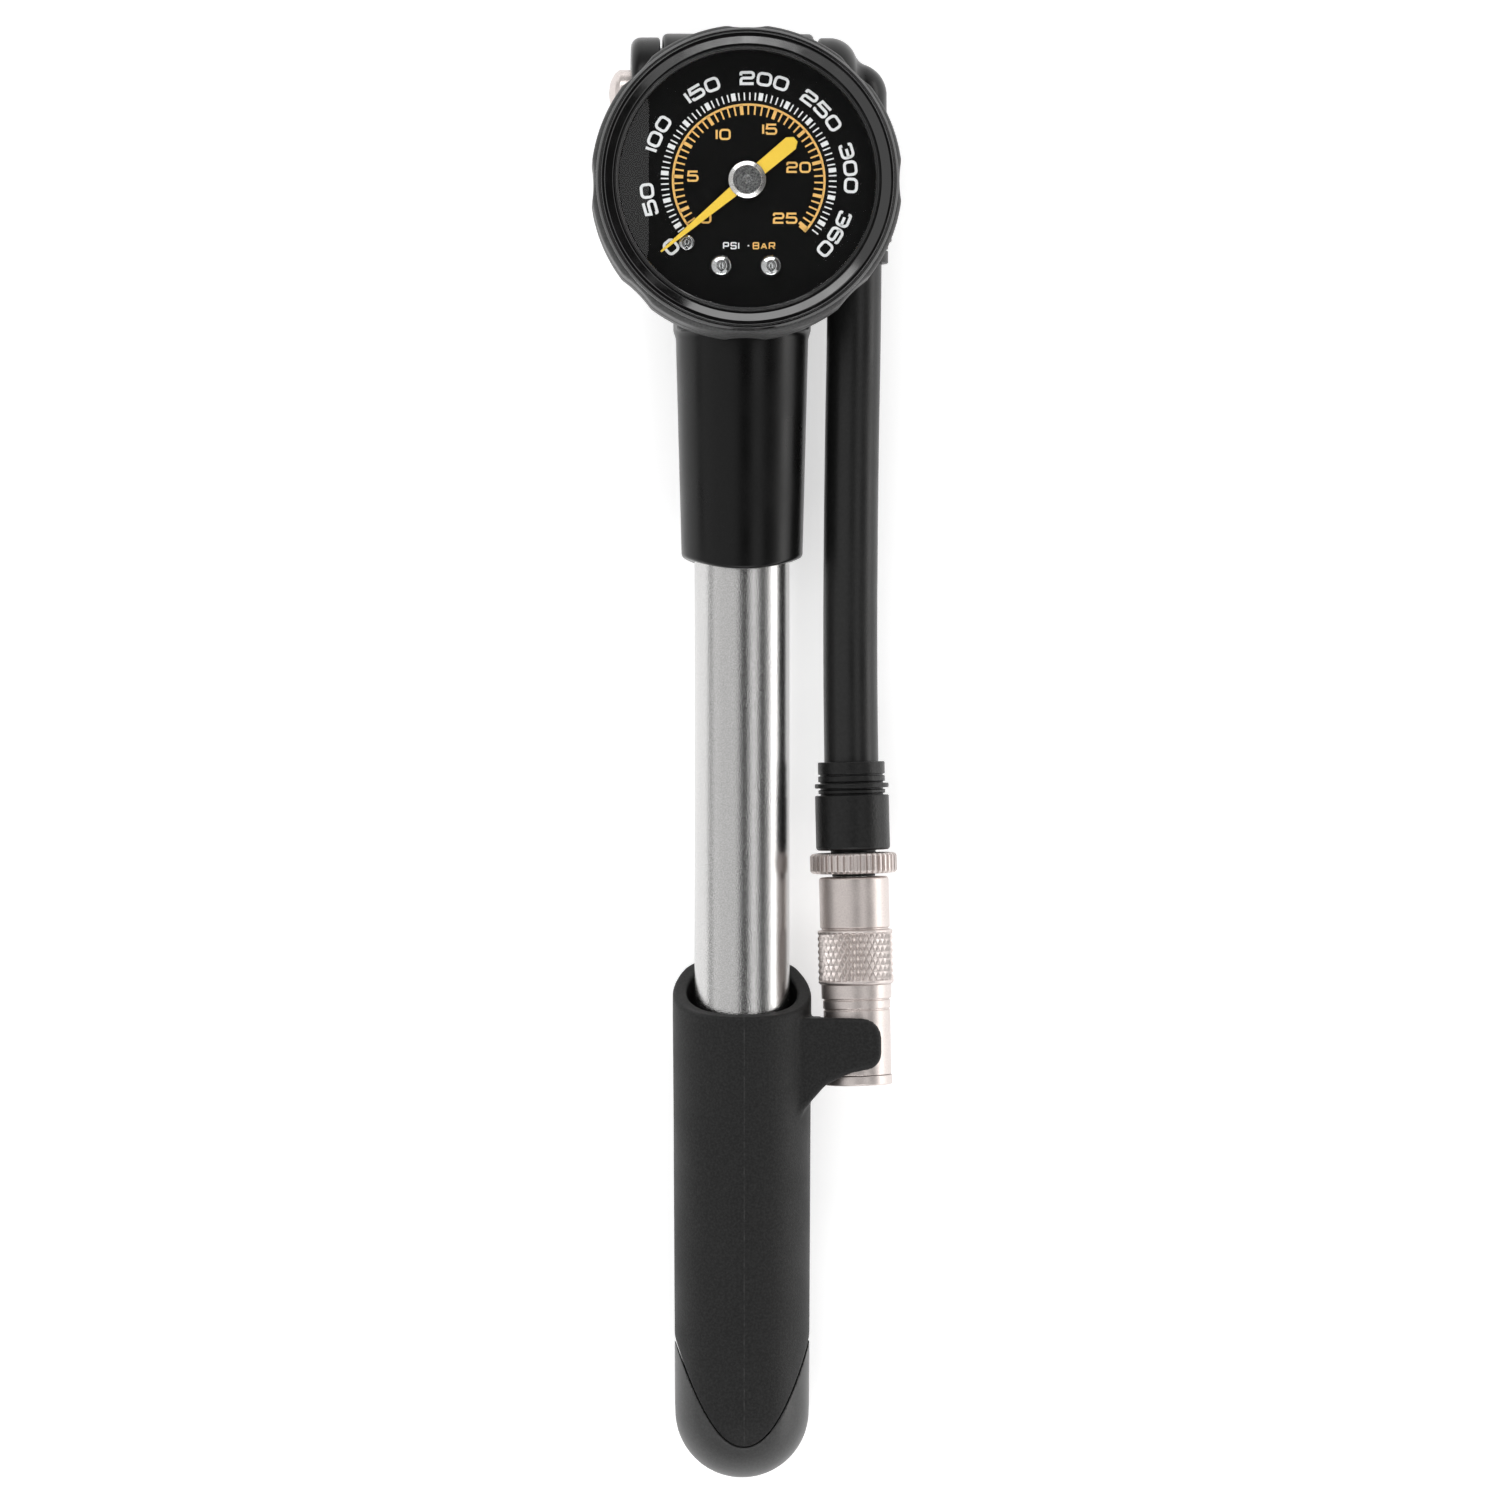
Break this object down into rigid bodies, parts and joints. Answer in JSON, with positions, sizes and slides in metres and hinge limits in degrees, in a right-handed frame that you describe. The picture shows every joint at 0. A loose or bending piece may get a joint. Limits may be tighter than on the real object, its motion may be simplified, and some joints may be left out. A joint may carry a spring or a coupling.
{
  "type": "mini pump",
  "caption": "Slim high-pressure hand pump with a pull handle, round dial gauge, bleed button and a fold-down swivelling hose that clips to the handle.",
  "frame": {"origin": "centre of the bounding box's base, under the middle of the pump as it lies on its back", "axes": "+Y along the barrel from handle to head, +Z out of the gauge's face, +X towards the hose"},
  "size_m": [0.0468, 0.2206, 0.037],
  "materials": {
    "head_plastic": "satin black moulding",
    "brass": "machined brass",
    "barrel_aluminium": "fine satin anodised",
    "machined_aluminium": "turned",
    "seal_rubber": "soft black",
    "steel": "plain",
    "rod_chrome": "polished",
    "gauge_case_paint": "black",
    "boot_rubber": "dark grey, matte",
    "bezel_gloss": "polished black",
    "window": "clear",
    "dial_black": "satin black with printed scales",
    "needle_yellow": "warm yellow",
    "bright_nickel": "warm nickel",
    "handle_plastic": "fine grained black",
    "cap_plastic": "mid grey, slightly glossy",
    "hose_rubber": "satin black",
    "collar_plastic": "pebbled black"
  },
  "bodies": {
    "head": {"head_shell": "head_plastic", "manifold": "brass", "barrel": "barrel_aluminium", "barrel_o_ring": "seal_rubber", "check_valve_seat": "seal_rubber", "check_valve_spring": "steel", "rod_gland": "machined_aluminium", "rod_wiper": "seal_rubber", "bleed_cap": "head_plastic", "bleed_spring": "steel", "gauge_socket": "brass", "gauge_case": "gauge_case_paint", "gauge_boot": "boot_rubber", "bezel_ring": "bezel_gloss", "lens": "window", "lens_gasket": "seal_rubber", "dial_plate": "dial_black", "dial_screws": "rod_chrome", "stop_pin": "steel", "bourdon_tube": "brass", "movement_base_plate": "brass", "movement_top_plate": "brass", "movement_pillars": "brass", "hairspring": "steel", "swivel_spindle": "machined_aluminium", "swivel_o_rings": "seal_rubber"},
    "handle": {"handle_grip": "handle_plastic", "handle_end_cap": "cap_plastic", "piston_rod": "rod_chrome", "rod_lock_nut": "steel", "piston": "machined_aluminium", "piston_seal": "seal_rubber", "rod_bumper": "seal_rubber"},
    "bleed_button": {"bleed_button": "bright_nickel", "bleed_plunger": "steel", "bleed_seal": "seal_rubber"},
    "check_valve": {"check_valve_poppet": "brass"},
    "pointer": {"pointer_needle": "needle_yellow", "pointer_hub": "bright_nickel", "pointer_arbor": "brass"},
    "sector": {"sector_gear": "brass", "sector_arbor": "steel"},
    "hose_arm": {"swivel_elbow": "head_plastic", "swivel_gland_nut": "machined_aluminium", "upper_collar": "collar_plastic", "hose": "hose_rubber", "lower_collar": "collar_plastic", "chuck_core": "bright_nickel", "wheel_washer": "seal_rubber"},
    "thumb_wheel": {"thumb_wheel": "bright_nickel"},
    "depressor": {"depressor_pin": "steel"},
    "chuck": {"chuck_body": "bright_nickel", "valve_coupler": "bright_nickel", "coupler_end_ring": "bright_nickel", "chuck_gasket": "seal_rubber"}
  },
  "joints": [
    {"name": "handle_pull", "type": "slide", "parent": "head", "child": "handle", "axis": [0, -1, 0], "range_m": [0, 0.118]},
    {"name": "hose_swing", "type": "hinge", "parent": "head", "child": "hose_arm", "pos_m": [0.0173, 0.10105, 0.0106], "axis": [1, 0, 0], "range_deg": [0, 180]},
    {"name": "bleed_press", "type": "slide", "parent": "head", "child": "bleed_button", "axis": [1, 0, 0], "range_m": [0, 0.0015], "stiffness_N_per_m": 900, "springref_m": -0.002, "deforming": ["bleed_spring"]},
    {"name": "check_valve_lift", "type": "slide", "parent": "head", "child": "check_valve", "axis": [0, 1, 0], "range_m": [0, 0.001], "stiffness_N_per_m": 150, "springref_m": -0.001, "deforming": ["check_valve_spring"]},
    {"name": "pointer_turn", "type": "hinge", "parent": "head", "child": "pointer", "pos_m": [0, 0.086, 0.0337], "axis": [0, 0, -1], "range_deg": [0, 258], "stiffness_Nm_per_rad": 0.00002, "deforming": ["hairspring"]},
    {"name": "sector_turn", "type": "hinge", "parent": "head", "child": "sector", "pos_m": [0, 0.0935, 0.0282], "axis": [0, 0, 1], "range_deg": [0, 51.6]},
    {"name": "thumb_wheel_turn", "type": "hinge", "parent": "hose_arm", "child": "thumb_wheel", "pos_m": [0.01706, -0.01645, 0.0106], "axis": [0.0227, -0.9997, 0], "range_deg": [0, 360]},
    {"name": "depressor_slide", "type": "slide", "parent": "hose_arm", "child": "depressor", "axis": [0.0227, -0.9997, 0], "range_m": [0, 0.001]},
    {"name": "chuck_spin", "type": "hinge", "parent": "hose_arm", "child": "chuck", "pos_m": [0.01739, -0.03094, 0.0106], "axis": [0.0227, -0.9997, 0], "continuous": true}
  ],
  "couplings": [
    {"joint": "sector_turn", "follows": "pointer_turn", "ratio": 0.2},
    {"joint": "depressor_slide", "follows": "thumb_wheel_turn", "m_per_rad": 0.000159}
  ]
}
